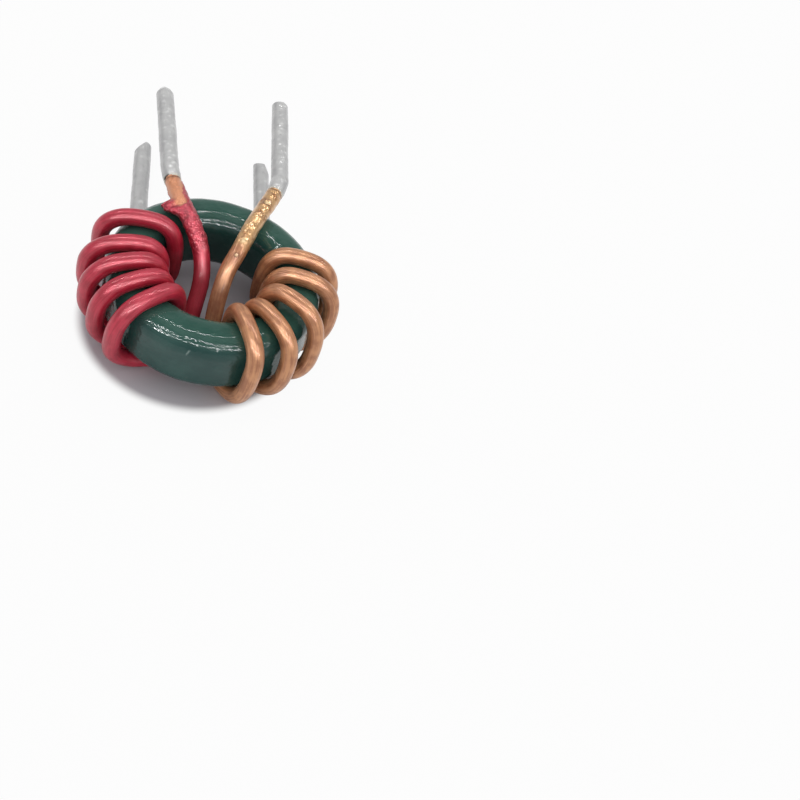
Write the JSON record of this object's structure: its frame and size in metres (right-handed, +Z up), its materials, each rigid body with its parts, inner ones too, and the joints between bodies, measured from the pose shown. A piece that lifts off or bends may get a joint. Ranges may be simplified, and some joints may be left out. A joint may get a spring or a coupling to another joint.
{
  "type": "toroidal inductor",
  "caption": "Coated ferrite ring with a red and a copper-coloured winding and tinned wire leads, lying flat with the leads to one side.",
  "frame": {"origin": "middle of the footprint, on the surface that the undersides of the turns rest on", "axes": "+Z up, along the axis of the ring; +Y along the four leads, towards their tips; +X towards the copper-coloured winding"},
  "size_m": [0.017, 0.0252, 0.0073],
  "materials": {
    "core_coating": "glossy green epoxy coat over ferrite",
    "red_enamel": "satin red enamel on copper wire",
    "copper_enamel": "clear satin enamel on copper wire",
    "solder": "dull tin solder"
  },
  "bodies": {
    "root": {"core": "core_coating", "red_winding": "red_enamel", "copper_winding": "copper_enamel", "red_top_lead": "solder", "red_bottom_lead": "solder", "copper_top_lead": "solder", "copper_bottom_lead": "solder"}
  },
  "joints": []
}
